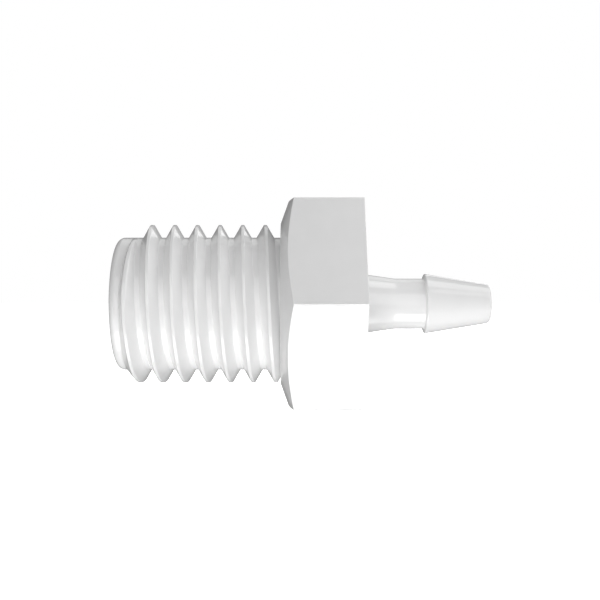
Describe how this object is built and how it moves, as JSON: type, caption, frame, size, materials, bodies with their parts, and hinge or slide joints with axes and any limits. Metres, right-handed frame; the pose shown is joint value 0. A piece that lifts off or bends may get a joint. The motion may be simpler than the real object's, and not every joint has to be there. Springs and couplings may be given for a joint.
{
  "type": "threaded hose barb fitting",
  "caption": "Small moulded plastic fitting: male straight thread with a plain nose, chamfered wrench hexagon and a barbed stem for soft small-bore tube",
  "frame": {"origin": "on the passage's axis, in the plane of the hexagon's shoulder", "axes": "+X along the passage towards the hose barb, +Z out of one wrench flat, +Y through two corners of the hexagon (a corner faces -Y)"},
  "size_m": [0.0149, 0.0094, 0.0082],
  "materials": {
    "moulded_plastic": "satin"
  },
  "bodies": {
    "root": {"pilot_nose": "moulded_plastic", "shank_core": "moulded_plastic", "thread_ridge": "moulded_plastic", "hex_collar": "moulded_plastic", "stem_flare": "moulded_plastic", "stem_neck": "moulded_plastic", "barb_head": "moulded_plastic"}
  },
  "joints": []
}
